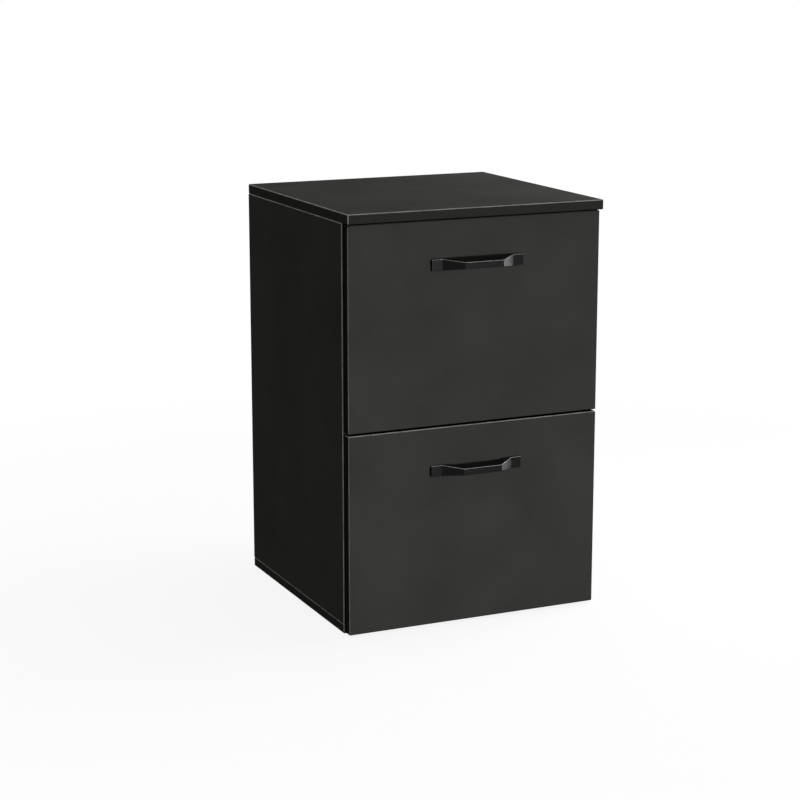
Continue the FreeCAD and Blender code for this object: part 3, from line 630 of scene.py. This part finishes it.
# %% A head with a cross recess
ARM_HALF_SHARE, ARM_SLOPE_SHARE = 0.17, 0.05
ARM_END_SHARE, END_SLOPE_SHARE = 0.68, 0.08
RIM_SHARE, CROWN_SHARE, RECESS_SHARE = 0.35, 0.95, 0.75
FIRST_RING, LAST_RING = 0.97, 0.02


def head_grid(radius, height, rings=9, columns=32):
    """A dome on a rim: height times the root of one less the squared share of the radius, less a cross."""
    share = np.concatenate([[1.0, 1.0], np.linspace(FIRST_RING, LAST_RING, rings)])[:, None]
    angle = np.linspace(0, 2 * np.pi, columns, endpoint=False)[None, :]
    across, up = share * np.cos(angle), share * np.sin(angle)
    arm = np.minimum(np.abs(across), np.abs(up))
    within_arm = np.clip((ARM_HALF_SHARE - arm) / ARM_SLOPE_SHARE, 0, 1)
    within_end = np.clip((ARM_END_SHARE - share) / END_SLOPE_SHARE, 0, 1)
    crown = np.sqrt(np.clip(1 - CROWN_SHARE * share ** 2, 0, 1))
    lift = height * (RIM_SHARE + (1 - RIM_SHARE) * crown - RECESS_SHARE * within_arm * within_end)
    lift[0] = 0
    return np.stack([radius * across, radius * up, lift], axis=-1)


def set_heads(name, node, size, seats, facings, body):
    """The heads of all the screws in a CAD node: one grid turned to face each way and moved to each seat."""
    grid = head_grid(*size)
    up = np.array([0.0, 0.0, 1.0])
    axes = np.stack([np.cross(up, facings), up + 0 * facings, facings], axis=1)
    heads = np.einsum("rck,skj->srcj", grid, axes) + seats[:, None, None, :]
    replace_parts(skin(name, heads, zinc, body, smooth_angle=50), node)


# %% [markdown]
# ## Seats for the heads
# A head sits on the web of its rail, or on the back of a front. The webs lie against the boards, so an outer
# rail's web is its side that is farthest from the middle, and an inner rail's is the nearest one. Reading
# the rails' boxes for this means that the heads follow the CAD if a size changes there.

# %% Heads on the slides and behind the handles
RAIL_HEAD = (0.0038, 0.0012)
HANDLE_HEAD = (0.0040, 0.0024)
RAIL_SHEET = 0.0012
FRONT_SCREW, REAR_SCREW = 0.015, 0.050
HANDLE_SCREW = 0.064


def rail_seats(rails, side_of_web):
    """Seats on the webs of rails, and the way each head faces, away from the board behind the web."""
    seats, facings = [], []
    for rail in rails:
        low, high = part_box(rail)
        side = np.sign(low.x)
        face = -1 if side_of_web is max else 1
        x = side * (side_of_web(abs(low.x), abs(high.x)) + face * RAIL_SHEET)
        z = (low.z + high.z) / 2
        seats += [(x, low.y + FRONT_SCREW, z), (x, high.y - REAR_SCREW, z)]
        facings += [(face * side, 0, 0)] * 2
    return np.array(seats), np.array(facings)


outer_rails = [f"{level}_{side}_outer_rail" for level in levels for side in sides]
set_heads("outer_rail_screw_heads", "outer_rail_screws", RAIL_HEAD, *rail_seats(outer_rails, max), "carcass")
for level in levels:
    drawer = f"{level}_drawer"
    inner_rails = [f"{level}_{side}_inner_rail" for side in sides]
    set_heads(f"{level}_inner_rail_screw_heads", f"{level}_inner_rail_screws", RAIL_HEAD,
              *rail_seats(inner_rails, min), drawer)
    low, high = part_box(f"{level}_handle")
    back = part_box(f"{level}_drawer_front")[1].y
    seats = np.array([(way * HANDLE_SCREW, back, (low.z + high.z) / 2) for way in BOTH_WAYS])
    set_heads(f"{level}_handle_screw_heads", f"{level}_handle_screws", HANDLE_HEAD,
              seats, np.array([(0.0, 1.0, 0.0)] * 2), drawer)

# %% [markdown]
# ## Soft bumpers
# Small clear pads on the back of each front take up the last of the drawer's travel. They are soft, so they
# are not discs with sharp rims but low buttons: a superellipse turned round its axis, full in the middle and
# rounded at the rim.

# %% A button and its soft plastic
BUMPER_RADIUS = 0.004
RIM_POWER, CROWN_POWER, CROWN_ANGLE = 0.5, 0.7, 0.03
BLOOM_PER_METRE = 700


def button_grid(radius, height, rings=8, columns=24):
    """A turned superellipse: radius times a power of the cosine, and height times a power of the sine."""
    turn = np.linspace(0, np.pi / 2 - CROWN_ANGLE, rings)[:, None]
    angle = np.linspace(0, 2 * np.pi, columns, endpoint=False)[None, :]
    wide = radius * np.cos(turn) ** RIM_POWER
    rise = height * np.sin(turn) ** CROWN_POWER
    return np.stack([wide * np.cos(angle), rise + 0 * angle, -wide * np.sin(angle)], axis=-1)


def rubber_finish():
    """Clear soft plastic gone grey: light passes a little, with a dull bloom on its surface."""
    finish = Finish("soft_clear_rubber")
    bloom = finish.noise(BLOOM_PER_METRE, detail=3)
    finish.feed(finish.shader, {
        "Base Color": finish.tint(bloom, dark=(0.30, 0.30, 0.29), light=(0.42, 0.42, 0.41)),
        "Roughness": finish.spread(bloom, 0.25, 0.45),
        "Transmission Weight": 0.5,
        "IOR": 1.45,
    })
    finish.bump(bloom, strength=0.1, distance=0.0001)
    return finish.material


# %% Buttons behind the fronts
rubber = rubber_finish()
for level in levels:
    low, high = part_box(f"{level}_front_bumpers")
    across = np.array([low.x + BUMPER_RADIUS, high.x - BUMPER_RADIUS])
    heights = np.array([low.z + BUMPER_RADIUS, high.z - BUMPER_RADIUS])
    places = np.stack(np.meshgrid(across, [low.y], heights, indexing="ij"), axis=-1).reshape(-1, 3)
    buttons = button_grid(BUMPER_RADIUS, high.y - low.y) + places[:, None, None, :]
    bumpers = skin(f"{level}_soft_bumpers", buttons, rubber, f"{level}_drawer",
                   smooth_angle=60)
    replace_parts(bumpers, f"{level}_front_bumpers")

# %% [markdown]
# ## A pale floor
# A dark part is easiest to judge on plain white, but a lit white floor would throw light back on the boards.
# So the floor answers different rays in different ways: the camera and reflections see it white, with the
# cabinet's shadow kept close by, while light that bounces sees a darker floor. A Light Path node tells the
# rays apart.

# %% The floor
FLOOR_SIZE = 120.0
WHITE = (1, 1, 1, 1)
BOUNCE_GREY = (0.14, 0.14, 0.14, 1)
SHADOW_NEAR, SHADOW_FAR, NEAR_WHITE_SHARE = 0.35, 1.6, 0.88
FLOOR_DUST_PER_METRE = 30


def seen_share(graph):
    """1 for rays from the camera, reflections and glass, and 0 for bounced light."""
    path = graph.add("ShaderNodeLightPath").outputs
    glossy_or_glass = graph.combine("MAXIMUM", path["Is Glossy Ray"], path["Is Transmission Ray"])
    return graph.combine("MAXIMUM", path["Is Camera Ray"], glossy_or_glass)


def floor_finish():
    """White to the eye, more and more so away from the cabinet, and a plain pale floor under it."""
    finish = Finish("pale_floor")
    distance = finish.add("ShaderNodeVectorMath", {0: finish.places}, operation="LENGTH").outputs["Value"]
    white_share = finish.span(distance, SHADOW_NEAR, SHADOW_FAR, NEAR_WHITE_SHARE, 1.0)
    dust = finish.noise(FLOOR_DUST_PER_METRE, detail=3)
    finish.feed(finish.shader, {
        "Base Color": finish.tint(dust, dark=(0.84, 0.84, 0.84), light=(0.88, 0.88, 0.88)),
        "Roughness": 0.9,
        "Specular IOR Level": 0.0,
    })
    lit = finish.shader.outputs["BSDF"]
    white = finish.add("ShaderNodeEmission", {"Color": WHITE, "Strength": 1.0}).outputs["Emission"]
    grey = finish.add("ShaderNodeBsdfDiffuse", {"Color": BOUNCE_GREY}).outputs["BSDF"]
    seen = finish.add("ShaderNodeMixShader", {0: white_share, 1: lit, 2: white}).outputs["Shader"]
    both = finish.add("ShaderNodeMixShader", {0: seen_share(finish), 1: grey, 2: seen}).outputs["Shader"]
    finish.feed(finish.tree.nodes["Material Output"], {"Surface": both})
    return finish.material


reach = FLOOR_SIZE / 2
corners = [(-reach, -reach, 0), (reach, -reach, 0), (reach, reach, 0), (-reach, reach, 0)]
floor_mesh = bpy.data.meshes.new("floor")
floor_mesh.from_pydata(corners, [], [(0, 1, 2, 3)])
floor_mesh.materials.append(floor_finish())
floor = bpy.data.objects.new("floor", floor_mesh)
bpy.context.scene.collection.objects.link(floor)
print("floor", FLOOR_SIZE, "m wide")

# %% [markdown]
# ## Ambient light
# The world is white to the camera and to reflections, like the floor. What it lights is another matter: an
# even white world would fill the shadows above the handles, which are deep in the photo. So the world's
# light is weaker from the front, where the main lamp stands, and the lamp makes up for it there.

# %% The world
AMBIENT, FRONT_AMBIENT = 0.65, 0.13
FRONT = (0, -1, 0)
FULL_FRONT_DOT = 0.8


def studio_world():
    """White to the eye, and to bounced light a glow that is weaker the more it comes from the front."""
    world = bpy.data.worlds.new("studio")
    world.use_nodes = True
    graph = Graph(world.node_tree)
    way = graph.add("ShaderNodeTexCoord").outputs["Generated"]
    glow = graph.span(graph.dot(way, FRONT), 0.0, FULL_FRONT_DOT, AMBIENT, FRONT_AMBIENT)
    strength = graph.span(seen_share(graph), 0.0, 1.0, glow, 1.0)
    graph.feed(world.node_tree.nodes["Background"], {"Color": WHITE, "Strength": strength})
    return world


bpy.context.scene.world = studio_world()
print("ambient light", AMBIENT, "and", FRONT_AMBIENT, "from the front")

# %% [markdown]
# ## Studio light
# The fronts and the top are the light faces and the left side is dark. In the photo the handles' shadows lie
# above them and not below, so the main softbox is a low strip in front. A smaller one over the right edge of
# the top makes the top brighter towards the right, and a weak one low on the right gives the handles' right
# legs their glint. Nothing lights the left but the ambient light.

# %% Softboxes
def softbox(name, place, aim, width, height, watts):
    """A flat lamp at a place, turned to its aim."""
    data = bpy.data.lights.new(name, "AREA")
    data.shape = "RECTANGLE"
    data.size, data.size_y = width, height
    data.energy = watts
    lamp = bpy.data.objects.new(name, data)
    lamp.location = place
    lamp.rotation_euler = (Vector(aim) - Vector(place)).to_track_quat("-Z", "Y").to_euler()
    bpy.context.scene.collection.objects.link(lamp)
    print(name, watts, "watts")


softbox("main_softbox", place=(0.15, -3.0, 0.16), aim=(0, 0, 0.40), width=1.0, height=0.25, watts=75)
softbox("top_softbox", place=(1.0, -0.05, 1.32), aim=(0.1, 0, 0.68), width=0.5, height=0.5, watts=16.5)
softbox("right_softbox", place=(1.7, -0.13, 0.15), aim=(0.05, -0.21, 0.42), width=0.2, height=0.25, watts=27)

# %% [markdown]
# ## View settings
# The colours are judged without a film look, so the view transform is Standard.

# %% View settings
bpy.context.scene.view_settings.view_transform = "Standard"
